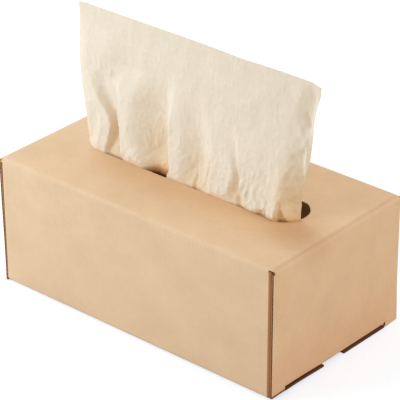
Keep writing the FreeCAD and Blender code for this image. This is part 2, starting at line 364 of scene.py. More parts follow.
class Paper:
    """One paper of the folded board: welded patches at its own depth in the board."""

    def __init__(self, name, depth, step_u, step_v):
        self.name, self.depth, self.step_u, self.step_v = name, depth, step_u, step_v
        self.mesh = bmesh.new()
        self.blank = self.mesh.loops.layers.uv.new("blank")
        self.corner = self.thinned(on_long, TOP_U, TOP_V)

    def thinned(self, kind, u, v):
        """The paper's depth after the board's crushing."""
        return self.depth(u, v) * (1 - CRUSH * crushed(kind, u, v))

    def patch(self, kind, rows):
        """A grid of the paper, given as rows of places on the blank."""
        count = len(rows[0])
        places = [place for row in rows for place in row]
        verts = []
        for u, v in places:
            depth = self.thinned(kind, u, v) - relief(kind, u, v)
            verts.append(self.mesh.verts.new(Vector(settled(kind, u, v, kind(u, v, depth))) * MM))
        for row in range(len(rows) - 1):
            for column in range(count - 1):
                first = row * count + column
                ring = (first, first + 1, first + count + 1, first + count)
                face = self.mesh.faces.new([verts[i] for i in ring])
                for loop, i in zip(face.loops, ring):
                    loop[self.blank].uv = places[i][0] * MM, places[i][1] * MM

    def grid(self, kind, us, vs):
        self.patch(kind, [[(u, v) for u in us] for v in vs])

    def beyond(self, turn):
        """How far a top crease runs on past the top panel, at a share of its turn, to its mitre."""
        return (TOP_CREASE - self.corner) * sin(turn * pi / 2)

    def widened(self, places, edge, turn):
        """The places across a top crease, with the mitres at both its ends."""
        past = self.beyond(turn)
        extra = [edge + past / 2, edge + past]
        return [-place for place in reversed(extra)] + places + extra

    def fold(self, low, high, step):
        return ticks([low, high], min(step, (high - low) / FOLD_STRIPS))

    def make(self):
        """All the patches of the folded sheet."""
        start = SLOT_COLUMNS[0]
        top_us = ticks([0, start, LONG_U, TOP_U], self.step_u)
        top_vs = ticks(SLOT_ROWS + [END_FLAP_SIDE, FOOT_SIDE] + CORNER_ROWS + [TOP_V], self.step_v)
        if self.step_u > 1:
            top_us = ticks([0, start], self.step_u)[:-1] + ticks(SLOT_COLUMNS, SLOT_COLUMN_STEP)
            top_us += CORNER_COLUMNS + [LONG_U, CORNER_COLUMN, TOP_U]
        top_us, top_vs = both_ways(top_us), both_ways(top_vs)
        self.grid(on_long, top_us, top_vs)
        self.long_sides(top_us)
        self.ends(top_vs)

    def long_sides(self, top_us):
        """The long panels with their creases, bottom flaps, tabs and dust flaps."""
        dust_v0 = LONG_V0 + DUST_FLAP_RELIEF
        dust_v1 = LONG_V0 + CREASE_LINE - DUST_BOTTOM
        panel_vs = ticks([LONG_V0, dust_v0, LONG_V0 + 5, dust_v1, LONG_V1], self.step_v)
        us = [u for u in top_us if abs(u) <= LONG_U + TINY]
        tab_us = ticks([LONG_U, LENGTH / 2], self.step_u)
        tab = FLAP_V0 + WIDTH / 2 - BOTTOM_CREASE - END_FLAP_SIDE
        crease = self.fold(LONG_V1, FLAP_V0, self.step_v)
        for side, tip in ((-1, FRONT_FLAP_TIP), (1, BACK_FLAP_TIP)):
            self.long_crease(side, top_us, us)
            flap = ticks([FLAP_V0, tab, FLAP_V0 + WIDTH / 2 - BOTTOM_CREASE - tip], self.step_v)
            for vs in (panel_vs, crease, flap):
                self.grid(on_long, us, [side * v for v in vs])
            tab_vs = [side * v for v in flap if v > tab - TINY]
            for end_side in (-1, 1):
                self.grid(on_long, [end_side * u for u in tab_us], tab_vs)
                self.dust_flap(side, end_side, panel_vs, dust_v0, dust_v1)

    def long_crease(self, side, top_us, us):
        """A long panel's top crease, slit at its ends. The front left slit is pressed shut."""
        mitred, slit, closed = [], [], []
        for i in range(FOLD_STRIPS + 1):
            turn = i / FOLD_STRIPS
            row = self.widened(top_us, TOP_U, turn)
            v = side * (TOP_V + turn * (LONG_V0 - TOP_V))
            if turn <= SLIT_TURN:
                mitred.append([(u, v) for u in row])
            if turn >= SLIT_TURN:
                slit.append([(u, v) for u in us])
                closed.append([(u, v) for u in row if u <= TINY - LONG_U])
        self.patch(on_long, mitred)
        self.patch(on_long, slit)
        if side < 0:
            self.patch(on_long, closed)

    def dust_flap(self, side, end_side, panel_vs, dust_v0, dust_v1):
        """A dust flap with its fold, which runs up to the slit and down to the floor."""
        corner = DUST_U0 + WIDTH / 2 - CORNER_CREASE - FOOT_SIDE
        us = self.fold(LONG_U, DUST_U0, self.step_u)[:-1]
        us += ticks([DUST_U0, corner, DUST_U0 + DUST_FLAP_LENGTH - CORNER_CREASE], self.step_u)
        turns = range(round(FOLD_STRIPS * CORNER_TURN), FOLD_STRIPS + 1)
        raised_vs = [TOP_V + i / FOLD_STRIPS * (LONG_V0 - TOP_V) for i in turns] + [dust_v0]
        flap_vs = [v for v in panel_vs if dust_v0 - TINY < v < dust_v1 + TINY]
        foot_vs = [v for v in panel_vs if v > dust_v1 - TINY]
        for end, vs in ((DUST_U0, raised_vs), (LENGTH, flap_vs), (corner, foot_vs)):
            self.grid(on_dust, [end_side * u for u in us if u < end + TINY], [side * v for v in vs])

    def ends(self, top_vs):
        """The end panels with their creases, feet and bottom flaps."""
        middle = TOP_V + self.beyond(SLIT_TURN)
        rim = [(TOP_V + middle) / 2, middle, WIDTH / 2]
        panel_vs = [-v for v in reversed(rim)] + top_vs + rim
        panel_us = ticks([END_U0, *(END_U0 + place for place in PANEL_COLUMNS), END_U1], self.step_u)
        flap_vs = [v for v in top_vs if abs(v) <= END_FLAP_SIDE + TINY]
        foot_vs = [v for v in panel_vs if v >= FOOT_SIDE - TINY]
        flap_end = END_FLAP_U0 + LENGTH / 2 - BOTTOM_CREASE - END_FLAP_TIP
        flap_us = ticks([END_FLAP_U0, flap_end], self.step_u)
        foot_us = ticks([END_U1, FOOT_U1], self.step_u)
        crease = self.fold(END_U1, END_FLAP_U0, self.step_u)
        turns = 2 * ceil(max(3, (END_U0 - TOP_U) / self.step_u / 2))
        for side in (-1, 1):
            mitred, slit = [], []
            for i in range(turns + 1):
                column = self.widened(top_vs, TOP_V, i / turns)
                u = side * (TOP_U + i / turns * (END_U0 - TOP_U))
                if i / turns <= SLIT_TURN:
                    mitred.append([(u, v) for v in column])
                if i / turns >= SLIT_TURN:
                    slit.append([(u, v) for v in panel_vs])
            self.patch(on_end, mitred)
            self.patch(on_end, slit)
            for us, vs in ((panel_us, panel_vs), (crease, flap_vs), (flap_us, flap_vs)):
                self.grid(on_end, [side * u for u in us], vs)
            for foot_side in (-1, 1):
                self.grid(on_foot, [side * u for u in foot_us], [foot_side * v for v in foot_vs])

    def finished(self):
        """The welded paper as an object, before it gets its thickness."""
        self.make()
        bm = self.mesh
        bmesh.ops.remove_doubles(bm, verts=bm.verts, dist=WELD * MM)
        bmesh.ops.recalc_face_normals(bm, faces=bm.faces)
        top = max(bm.faces, key=lambda face: face.calc_center_median().z)
        if top.normal.z < 0:
            bmesh.ops.reverse_faces(bm, faces=bm.faces)
        return new_piece(self.name, bm)


def apply_modifiers(piece):
    """Gives the piece the mesh that its modifiers make."""
    graph = bpy.context.evaluated_depsgraph_get()
    shaped = bpy.data.meshes.new_from_object(
        piece.evaluated_get(graph), preserve_all_data_layers=True, depsgraph=graph
    )
    piece.modifiers.clear()
    piece.data = shaped


def thicken(piece, thickness, offset):
    """Turns a surface into a thin solid. Its rim and its new side take the second material."""
    solid = piece.modifiers.new("thickness", "SOLIDIFY")
    solid.thickness = thickness * MM
    solid.offset = offset
    solid.material_offset = 1
    solid.material_offset_rim = 1
    apply_modifiers(piece)


def slot_cutter():
    """A prism through the top panel, in the slot's outline."""
    bm = bmesh.new()
    steps, through_by = 32, 8
    reach, middle = SLOT_WIDTH / 2, (SLOT_LENGTH - SLOT_WIDTH) / 2
    ring = []
    for side in (1, -1):
        for i in range(steps + 1):
            angle = pi * i / steps - pi / 2
            x, y = side * (middle + reach * cos(angle)), side * reach * sin(angle)
            bulge = SLOT_BULGE * ease((BULGE_END - x) / BULGE_FADE) if x > 0 and y > 0 else 0.0
            ring.append((x + SLOT_SKEW[0] * skewed(x), y + SLOT_SKEW[1] * skewed(x) + bulge))
    low, high = (
        [bm.verts.new(Vector((x, y, z)) * MM) for x, y in ring]
        for z in (HEIGHT - through_by, HEIGHT + through_by)
    )
    bm.faces.new(low[::-1])
    bm.faces.new(high)
    for i in range(len(ring)):
        j = (i + 1) % len(ring)
        bm.faces.new((low[i], low[j], high[j], high[i]))
    for face in bm.faces:
        face.material_index = 1
    return new_piece("slot_cutter", bm)


def cut_slot(piece, cutter):
    """Cuts the slot through a paper. The cut takes the second material."""
    cut = piece.modifiers.new("slot", "BOOLEAN")
    cut.operation = "DIFFERENCE"
    cut.solver = "EXACT"
    cut.material_mode = "INDEX"
    cut.object = cutter
    apply_modifiers(piece)


def finish_surface(piece, *materials):
    """Smooth shading with sharp edges kept, and the materials in their slots."""
    piece.data.materials.clear()
    for material in materials:
        piece.data.materials.append(material)
    piece.data.shade_smooth()
    piece.data.set_sharp_from_angle(angle=radians(SHARP_ANGLE))


# ---------------------------------------------------------------- materials


# the kraft board's darkest and lightest tone, and its specks: how many, and how dark
KRAFT_DARK, KRAFT_LIGHT, SPECKS, SPECK_DEPTH = (0.86, 0.82, 0.76), 1.10, 0.3, 0.12

# the tones that the board's colour is multiplied by, mostly painted shade: on the corners' folds,
# painted shade of the gaps over crushed paper, darker on their inner side; on the end panels' score
# lines, painted shade of the groove over crushed paper; painted shade low down on the end panels; a
# painted contact shadow on the near right foot's lower edge; painted shadow of the tissue in front of
# the slot and round its right end; and painted shade on the bottom flaps' cut edges
FOLD_TONE, INNER_TONE, SCORE_TONE = (0.56, 0.375, 0.26), (0.5, 0.42, 0.33), (0.90, 0.885, 0.87)
LOW_TONE, FOOT_TONE, RIM_TONE = (0.975, 0.895, 0.865), (0.3, 0.2, 0.14), (0.98, 0.91, 0.81)
SLOT_END_SHADOW_TONE, CUT_TONE = (0.82, 0.73, 0.64), (0.5, 0.44, 0.38)

# where they are on the blank: the folds' shade and its inner side start this far from the long panels'
# edges and end this far past the dust flaps' crease; half the score line's width; the low shade and
# the foot's contact shadow start this far above their panels' lower edges; the places along the carton
# and the width of the shadow in front of the slot; the middle and reach of the round painted shadow at
# the slot's right end
FOLD_START, INNER_START, FOLD_PAST = -0.4, 1.2, 3
SCORE_HALF, LOW_EDGE, FOOT_EDGE = 0.3, 8, 1.4
RIM_PLACES, RIM_WIDTH = (-40, 80), 6
SLOT_END_SHADOW, SLOT_END_SHADOW_REACH = (97.0, -17.0), (34, 30)

# the tissue's darkest and lightest tone, and the share of the light that goes through it
TISSUE_DARK, TISSUE_LIGHT, LIGHT_THROUGH = (0.91, 0.91, 0.86), 1.06, 0.16

# the painted shade that the tissue's colour is multiplied by: in its valleys, deep in them, and in the
# slot. Away from its front the first two have this share. The last has these heights and this soft edge
VALLEY_TONE, DEEP_TONE, SLOT_TONE = (0.975, 0.88, 0.72), (0.98, 0.78, 0.62), (0.86, 0.6, 0.38)
BACK_SHARE, SLOT_TONE_LOW, SLOT_TONE_HIGH, SLOT_TONE_SOFT = 0.4, HEIGHT - 7, HEIGHT - 2, 3.5

# a place beyond all the edges of the blank and of the tissue
FAR = 400


class Shading:
    """A node tree of a material or the world, with short calls to add nodes and join them."""

    def __init__(self, owner, output="ShaderNodeOutputMaterial"):
        self.owner = owner
        owner.use_nodes = True
        self.tree = owner.node_tree
        self.tree.nodes.clear()
        self.output = self.add(output)

    def join(self, socket, value):
        """Gives an input its value, or the output that it follows."""
        if isinstance(value, bpy.types.NodeSocket):
            self.tree.links.new(value, socket)
        else:
            socket.default_value = value

    def add(self, kind, inputs=None, **settings):
        node = self.tree.nodes.new(kind)
        for name, value in settings.items():
            setattr(node, name, value)
        for name, value in (inputs or {}).items():
            self.join(node.inputs[name], value)
        return node

    def show(self, surface):
        """Joins the last node to the output, and gives back what the tree belongs to."""
        self.join(self.output.inputs[0], surface.outputs[0])
        return self.owner

    def math(self, operation, first, second=0.0, third=0.0):
        values = {0: first, 1: second, 2: third}
        return self.add("ShaderNodeMath", values, operation=operation).outputs[0]

    def both(self, first, second):
        """The product of two shares."""
        return self.math("MULTIPLY", first, second)

    def vector(self, operation, first, second=(0, 0, 0), output=0):
        values = {0: first, 1: second}
        return self.add("ShaderNodeVectorMath", values, operation=operation).outputs[output]

    def axes(self, place):
        return self.add("ShaderNodeSeparateXYZ", {0: place}).outputs

    def smooth(self, value, low, high):
        """0 at the low value and 1 at the high one, eased between them."""
        settings = {0: value, 1: low, 2: high}
        return self.add("ShaderNodeMapRange", settings, interpolation_type="SMOOTHSTEP").outputs[0]

    def mixed(self, share, first, second):
        """The first surface where the share is 0, and the second where it is 1."""
        return self.add("ShaderNodeMixShader", {0: share, 1: first.outputs[0], 2: second.outputs[0]})

    def flat(self, name):
        """A UV map's places, in millimetres."""
        place = self.add("ShaderNodeUVMap", uv_map=name).outputs[0]
        return self.vector("MULTIPLY", place, (1 / MM,) * 3)

    def noise(self, place, stretch, detail=3.0, roughness=0.55):
        """Noise whose features are stretch millimetres across, each way."""
        scaled = self.vector("MULTIPLY", place, tuple(1 / size for size in stretch))
        settings = {"Vector": scaled, "Scale": 1.0, "Detail": detail, "Roughness": roughness}
        return self.add("ShaderNodeTexNoise", settings).outputs[0]

    def blended(self, parts, middle=0.5):
        """A middle value plus each part's swing about its own middle."""
        total = middle
        for socket, swing in parts:
            total = self.math("MULTIPLY_ADD", socket, 2 * swing, self.math("SUBTRACT", total, swing))
        return total

    def blend(self, share, first, second):
        """The first colour, multiplied by the second where the share is 1."""
        node = self.add("ShaderNodeMix", data_type="RGBA", blend_type="MULTIPLY", clamp_factor=True)
        for place, value in ((0, share), (6, first), (7, (*second, 1))):
            self.join(node.inputs[place], value)
        return node.outputs[2]

    def ramp(self, share, *stops):
        """A colour ramp through two (place, colour) stops."""
        node = self.add("ShaderNodeValToRGB", {"Fac": share})
        for element, (place, colour) in zip(node.color_ramp.elements, stops):
            element.position, element.color = place, (*colour, 1)
        return node.outputs[0]

    def bump(self, height, strength, depth):
        """A bumpy normal. The depth is in millimetres."""
        settings = {"Height": height, "Strength": strength, "Distance": depth * MM}
        return self.add("ShaderNodeBump", settings).outputs[0]

    def paper(self, tone, roughness, normal, gloss):
        """The surface of paper or board."""
        settings = {"Base Color": tone, "Roughness": roughness, "Normal": normal}
        return self.add("ShaderNodeBsdfPrincipled", {**settings, "Specular IOR Level": gloss})


def times(colour, *factors):
    """A colour with its channels multiplied, all by one factor or each by its own."""
    factors = factors if len(factors) > 1 else factors * 3
    return tuple(min(1.0, channel * factor) for channel, factor in zip(colour, factors))


def band(tree, place, low, high, soft):
    """1 between two places, falling to 0 over a soft edge outside them."""
    rise, fall = tree.smooth(place, low - soft, low), tree.smooth(place, high, high + soft)
    return tree.both(rise, tree.math("SUBTRACT", 1.0, fall))


def spot(tree, place, middle, reach):
    """1 in the middle of a soft oval on the blank, falling to 0 at its edge."""
    offset = tree.vector("SUBTRACT", place, (*middle, 0))
    offset = tree.vector("MULTIPLY", offset, (1 / reach[0], 1 / reach[1], 0))
    return tree.smooth(tree.vector("LENGTH", offset, output="Value"), 1.0, 0.0)


def creases_and_shade(tree, place):
    """The painted shade on the board's outside, some of it over crushed folds and scores, with its
    tones.
    """
    across, along = tree.axes(place)[:2]
    u, v = tree.math("ABSOLUTE", across), tree.math("ABSOLUTE", along)
    right, back = band(tree, across, 0, FAR, soft=1), band(tree, along, 0, FAR, soft=1)
    below = band(tree, v, TOP_V + 2, FAR, soft=0.6)
    turned = tree.both(below, tree.math("MAXIMUM", right, back))
    # painted shade of the corners' gaps on their crushed folds, and darker painted shade on their inner
    # side
    yield tree.both(band(tree, u, LONG_U + FOLD_START, DUST_U0 + FOLD_PAST, 0.35), turned), FOLD_TONE
    yield tree.both(band(tree, u, LONG_U + INNER_START, DUST_U0 + FOLD_PAST, 0.3), turned), INNER_TONE
    # painted shade of the scored groove along the end panels' top creases, over slightly crushed paper
    middle = TOP_U + GROOVE_U
    above = band(tree, v, -1, TOP_V + 2, soft=1.5)
    yield tree.both(band(tree, u, middle - SCORE_HALF, middle + SCORE_HALF, 1.3), above), SCORE_TONE
    # painted shade, darker and warmer low down on the end panels
    yield band(tree, u, END_U1 - LOW_EDGE, FAR, soft=30), LOW_TONE
    # a painted contact shadow along the near right foot's lower edge
    foot = band(tree, along, -FAR, -FOOT_SIDE, soft=0.5)
    yield tree.both(band(tree, across, FOOT_U1 - FOOT_EDGE, FAR, soft=0.3), foot), FOOT_TONE
    # painted shadow of the tissue on the strip in front of the slot
    front = band(tree, along, -SLOT_WIDTH / 2 - RIM_WIDTH, -SLOT_WIDTH / 2, soft=26)
    yield tree.both(front, band(tree, across, *RIM_PLACES, soft=40)), RIM_TONE
    # a round painted shadow of the tissue on the top panel at the slot's right end
    yield spot(tree, place, SLOT_END_SHADOW, SLOT_END_SHADOW_REACH), SLOT_END_SHADOW_TONE


def cut_edge_shade(tree, place):
    """Painted shade on the board's cut edges: on the bottom flaps."""
    v = tree.math("ABSOLUTE", tree.axes(place)[1])
    # painted shade on the bottom flaps' cut edges
    yield band(tree, v, FLAP_V0 - 1, FAR, soft=1), CUT_TONE


def kraft(name, colour, shaded_by=creases_and_shade):
    """Brown paper: cloudy, with long fibres, dark specks and the faint lines of the flutes under it."""
    tree = Shading(bpy.data.materials.new(name))
    place = tree.flat("blank")
    clouds = tree.noise(place, (34, 26, 1), detail=2.0)
    mottle = tree.noise(place, (5, 3.5, 1))
    fibres = tree.noise(place, (1.6, 0.22, 1), detail=4.0, roughness=0.6)
    crossed = tree.noise(place, (0.25, 1.1, 1), roughness=0.6)
    specks = tree.noise(place, (0.7, 0.35, 1), detail=1.0)
    dark = tree.math("LESS_THAN", specks, SPECKS)
    wave = tree.math("COSINE", tree.math("MULTIPLY", tree.axes(place)[0], 2 * pi / FLUTE_PITCH))
    flutes = tree.math("MULTIPLY_ADD", wave, 0.5, 0.5)
    parts = [(clouds, 0.30), (mottle, 0.14), (fibres, 0.16), (crossed, 0.08), (flutes, 0.02)]
    share = tree.math("SUBTRACT", tree.blended(parts), tree.both(dark, SPECK_DEPTH))
    tone = tree.ramp(share, (0.1, times(colour, *KRAFT_DARK)), (0.9, times(colour, KRAFT_LIGHT)))
    # the painted shade, and the crushed folds and scores under some of it, multiply the tone
    for shade_share, shade_tone in shaded_by(tree, place):
        tone = tree.blend(shade_share, tone, shade_tone)
    height = tree.blended([(fibres, 0.3), (crossed, 0.15), (flutes, 0.12), (mottle, 0.2)])
    rough = tree.math("MULTIPLY_ADD", mottle, 0.1, 0.8)
    normal = tree.bump(height, strength=0.35, depth=0.06)
    return tree.show(tree.paper(tone, rough, normal, gloss=0.3))


def tissue_paper(name, colour):
    """Unbleached tissue: soft, thin enough to let light through, with fine crepe lines.

    Painted shade deepens its tone down in its valleys, and browner painted shade lies at the slot,
    mostly on its front.
    """
    tree = Shading(bpy.data.materials.new(name))
    place = tree.flat("sheet")
    clouds = tree.noise(place, (22, 22, 1), detail=2.0)
    mottle = tree.noise(place, (3.2, 2.4, 1), detail=4.0, roughness=0.6)
    crepe = tree.noise(place, (0.7, 5.0, 1), roughness=0.6)
    share = tree.blended([(clouds, 0.22), (mottle, 0.28), (crepe, 0.18)])
    tone = tree.ramp(share, (0.1, times(colour, *TISSUE_DARK)), (0.9, times(colour, TISSUE_LIGHT)))
    coordinates = tree.add("ShaderNodeTexCoord").outputs
    # the painted shade is full on the sheet's front faces, and weaker on its back
    front = band(tree, tree.axes(coordinates["Normal"])[1], -2, 0.1, soft=0.3)
    painted_shade = tree.add("ShaderNodeAttribute", attribute_name="painted_shade").outputs["Fac"]
    painted_shade = tree.both(painted_shade, tree.math("MULTIPLY_ADD", front, 1 - BACK_SHARE, BACK_SHARE))
    deeper = tree.math("SUBTRACT", painted_shade, 1.0)
    height = tree.axes(coordinates["Object"])[2]
    # the browner painted shade at the slot's height
    in_slot = band(tree, height, SLOT_TONE_LOW * MM, SLOT_TONE_HIGH * MM, SLOT_TONE_SOFT * MM)
    # painted shade in the valleys, deeper in them, then at the slot
    tone = tree.blend(painted_shade, tone, VALLEY_TONE)
    tone = tree.blend(deeper, tone, DEEP_TONE)
    tone = tree.blend(tree.both(in_slot, front), tone, SLOT_TONE)
    normal = tree.bump(tree.blended([(mottle, 0.25), (crepe, 0.25)]), strength=0.6, depth=0.14)
    surface = tree.paper(tone, 0.95, normal, gloss=0.1)
    light = tree.add("ShaderNodeBsdfTranslucent", {"Color": tone, "Normal": normal})
    return tree.show(tree.mixed(LIGHT_THROUGH, surface, light))


# ---------------------------------------------------------------- the carton


def fluted(u, v):
    """The medium's depth: it waves between the liners, and lies flat in the top's corners."""
    flat = 1.0
    for place, edge in ((u, TOP_U), (v, TOP_V)):
        flat *= ease((abs(place) - edge + FLAT_START) / (FLAT_START - FLAT_FULL))
    if abs(v) > LONG_V0 + PAST_TOP or abs(u) > END_U0 + PAST_TOP:
        flat = 0.0
    return BOARD / 2 + FLUTE_SWING * cos(2 * pi * u / FLUTE_PITCH) * (1 - flat)


def make_carton():
    """The folded sheet as its three papers."""
    outside = kraft("kraft_outside", (0.80, 0.532, 0.314))
    # the inside liner is the outside's kraft made darker and browner: painted shade
    inside = kraft("kraft_inside", (0.55, 0.31, 0.13))
    # the medium and cut edges: the board's own brown, darkened further as painted shade of the flutes
    core = kraft("kraft_core", (0.24, 0.095, 0.03), shaded_by=cut_edge_shade)
    cutter = slot_cutter()
    # name, depth in the board, greatest steps along u and v, thickness, the side it grows to, materials
    papers = (
        ("outer_liner", lambda u, v: 0.0, 4.0, 4.0, LINER, -1, (outside, core)),
        ("fluted_medium", fluted, FLUTE_PITCH / 5, 14.0, MEDIUM, 0, (core, core)),
        ("inner_liner", lambda u, v: BOARD, 4.0, 4.0, LINER, 1, (inside, core)),
    )
    pieces = []
    for name, depth, step_u, step_v, thickness, offset, materials in papers:
        piece = Paper(name, depth, step_u, step_v).finished()
        thicken(piece, thickness, offset)
        cut_slot(piece, cutter)
        finish_surface(piece, *materials)
        pieces.append(piece)
    bpy.data.objects.remove(cutter)
    for piece in pieces:
        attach(piece, "root")
        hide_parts("carton")


# ---------------------------------------------------------------- the standing tissue

TISSUE = 200.0
TISSUE_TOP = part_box("standing_tissue")[1][2] / MM
PILE_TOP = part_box("tissue_pile")[1][2] / MM
PILE_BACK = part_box("tissue_pile")[1][1] / MM
TISSUE_PLY = 0.15

# the tissue's bend onto the pile, the rounding of the pile's long edges, and the room between them
BEND, PILE_EDGE, PILE_GAP = 6.5, 5.0, 0.4

# where it lies on the pile: its rows' greatest distance, its half width, and the way to full width
LAID_STEP, LAID_HALF, SPREAD = 2.5, 98.5, 30

# its columns, and its rows' distance up to each height, from the pile up
COLUMNS = 251
LEVELS = [(80, 2.2), (87, 1.0), (97, 0.42), (125, 0.75), (150, 1.0), (TISSUE_TOP, 1.3)]

# its two side edges, from the pile up: height, x, y
LEFT_EDGE = [
    (49, -97, -8), (70, -86, -9), (91.5, -83.2, -10.6), (101, -84, -10.8), (112, -86.5, -10),
    (121, -90, -8), (134, -95.5, -4.5), (144, -99.3, -2), (164, -100.2, -0.5), (185, -100.3, 0),
]
RIGHT_EDGE = [
    (49, 95, -2), (70, 89, -3), (86, 87.2, -4), (93, 87.2, -4),
    (98, 86.9, -3.2), (101, 86.4, -2.9), (104, 86.4, -2.6), (118, 88.2, -2.2),
    (132, 91.7, -1.5), (146, 93, -1), (161, 93.5, -0.4), (169, 95, 0), (178, 97.5, 0), (185, 98.2, 0),
]

# its front: height, y
FRONT = [
    (49, -3), (70, -4), (80, -7), (85, -11.5), (88, -14.4), (90, -14.9), (92, -15), (94, -15.2),
    (97, -14.6), (100, -13.5), (110, -11), (120, -9), (130, -7), (140, -5), (150, -3.5), (160, -2),
    (172, -0.8), (185, 0),
]

# how its front turns back to its edges: the width and the steepness, at the left and the right
LEFT_TURN, RIGHT_TURN = (4, 1.6), (13.5, 1.25)

# In what follows, a pair of numbers is where a change starts or ends, and the way it takes.
# The front rests on the slot's front edge, from some way below the top panel's level to above it
REST_START, REST_END = (HEIGHT - 8, 6), (HEIGHT + 7, 6)

# there it stands out over the edge by a little, and by more between two places
OVER, MORE_OVER = 0.3, 1.0
OVER_LEVEL, MORE_OVER_START, MORE_OVER_END = (HEIGHT, 1.6), (35, 25), (89, 9)

# up to this height the slot's edge keeps the paper behind it
EDGE_HOLDS = HEIGHT + 0.3

# creases and swells fade where the slot holds the paper, and swells also fade near its top
HELD_REACH, SWELL, SWELL_END = 2.4, 0.9, (190, 20)

# the painted shade in the paper's valleys: the depth at which it is full, and where it ends. Then more
# painted shade in places: how deep, the x at which it starts and ends, and the height at which it ends
WARM_VALLEY, WARM_VALLEY_END = 9, (130, 36)
WARM_PLACES = (0.85, (71, 6), (91, 6), (142, 40)), (0.25, (80, 4), (FAR, 1), (106, 8))

# the painted shade at the slot: everywhere, more in valleys, the depth at which that is full, and
# where it ends. And the painted shade inside the carton, with the height at which it starts to give way
WARM_SLOT, WARM_SLOT_VALLEY, SLOT_VALLEY, WARM_SLOT_END = 0.4, 0.9, 5, (HEIGHT + 9, 9)
WARM_INSIDE, INSIDE_END = 0.35, (HEIGHT - 15, 9)

# the top edge: it is raised a little but for a shallow dip, with the dip's depth, place and width
TOP_START = TISSUE_TOP - 14, 14
TOP_RAISED, DIP, DIP_PLACE, DIP_WIDTH = 0.35, 0.8, 36, 16

# how far the top's corners hang down, and over what width. They end at this x, and lean forwards
CORNER_DROOPS = (-1, 0.4, 6.0), (1, 1.5, 8.0)
CORNER_END, CORNER_LEAN = 98, 0.3

# the valleys between its pleats, from the pile up: height, the two sides' x, depth, the sides' slopes
VALLEYS = [
    [(49, -72, -50, 2, 6, 6), (91, -68, -51, 1.6, 5, 2), (98, -66.5, -53.5, 5.0, 4, 1.8),
     (106, -65.5, -56, 7.0, 4, 2), (111, -65.5, -57.5, 7.0, 4, 2), (116, -68, -59, 6.0, 5, 2.4),
     (121, -73, -60, 4.8, 6, 3), (129, -81, -60, 3.6, 9, 5), (137, -89, -60, 2.2, 14, 9),
     (146, -95, -56, 0.8, 16, 14), (156, -97, -50, 0, 16, 16)],
    [(92, -84, -74, 0, 5, 3), (100, -84, -73, 1.5, 6, 3), (110, -85, -73, 1.3, 7, 4),
     (120, -86, -75, 0, 7, 4)],
    [(49, -52, -48, 0, 2, 1), (90, -53, -49.5, 2, 2, 1), (94, -53.5, -51.5, 2, 1, 1),
     (97, -54, -53, 0, 1, 1)],
    [(49, -40, -12, 3, 8, 4), (70, -40, -12, 12, 8, 4), (80, -38, -12, 12, 8, 3),
     (86, -37, -12, 8, 12, 2), (91, -36, -13.4, 6.6, 14, 1.2), (94, -37, -12, 6.6, 15, 1.2),
     (97.5, -41, -10.8, 7.4, 18, 1.4), (103, -49, -13.2, 10.6, 29, 3),
     (115, -54, -16, 10.6, 34, 4.6), (127, -54, -17, 8.0, 27, 8), (143, -50, -14, 3.8, 22, 11),
     (152, -46, -13, 1.7, 18, 11), (162, -42, -13, 0, 14, 10)],
    [(49, 0, 22, 0, 8, 8), (88, 0, 20, 0.2, 8, 6), (92, -4, 21, 1.0, 9, 7),
     (98, -5, 22, 4.4, 11, 9), (104, -6, 23, 5.4, 15, 12), (120, -8, 21, 4.2, 16, 13),
     (140, -12, 15, 1.5, 14, 10), (150, -12, 12, 0, 14, 10)],
    [(49, 8, 13, 0, 3, 1), (90, 7.5, 12.5, 1.2, 3, 1.4), (97, 7, 11, 1.6, 2.5, 1.4),
     (103, 7, 9.5, 0, 2, 1)],
    [(92, 16, 23, 0, 3, 2), (98, 16, 23, 2.4, 3, 2), (106, 16.5, 22, 2.0, 3, 2),
     (114, 17, 21, 0, 3, 2)],
    [(49, 34, 52, 0, 7, 4), (92, 33.5, 55, 0.4, 10, 1.8), (95.5, 34, 52, 3.0, 7, 1.8),
     (100, 35.5, 48.5, 4.0, 8, 1.8), (106, 38, 46, 3.2, 5, 1.8), (112, 38, 43.6, 2.2, 4, 1.8),
     (119, 33, 41.5, 2.0, 7, 2), (132, 24, 39, 0.8, 12, 4), (145, 20, 36, 0, 12, 6)],
    [(49, 59, 70, 1, 4, 4), (89, 59, 70, 0.6, 4, 2.5), (92, 60, 70, 2.2, 4, 2),
     (95, 63, 70.3, 1.4, 3, 1.6), (98, 66, 70.5, 0, 3, 1.6)],
    [(49, 43, 50, 0, 3, 2), (90, 44, 51, 1.2, 3, 1.2), (94, 43.5, 49, 1.6, 3, 1.2),
     (99, 42.5, 46.5, 0, 2, 1)],
    [(49, 76, 83, 2, 3, 3), (89, 76.4, 83.6, 1.8, 1.4, 2), (92, 76.2, 83.2, 2.4, 1.3, 2),
     (96, 75.8, 80.8, 2.6, 1.3, 1.8), (101, 75.6, 78.2, 1.6, 1.3, 1.6),
     (105, 75.4, 77, 0, 1.3, 1.6)],
    [(49, 80, 92, 0, 3, 3), (92, 82.4, 92, 0.2, 2, 1.5), (97, 79, 92, 0.8, 4, 1.6),
     (104, 76, 92, 1.0, 8, 2), (114, 75, 92, 0.8, 10, 2), (122, 75, 90, 1.0, 12, 2.4),
     (133, 75, 89.6, 1.7, 12, 3), (148, 79, 91.3, 0, 9, 4)],
    [(140, 72, 93, 0, 12, 4), (156, 76, 93.5, 2.4, 14, 4), (172, 80, 96, 2, 13, 4),
     (184, 84, 98, 0, 10, 4)],
    [(124, -90, -52, 0, 12, 12), (138, -84, -40, 0.5, 14, 16), (152, -80, -26, 2.6, 28, 26),
     (166, -74, -24, 0, 26, 24)],
]

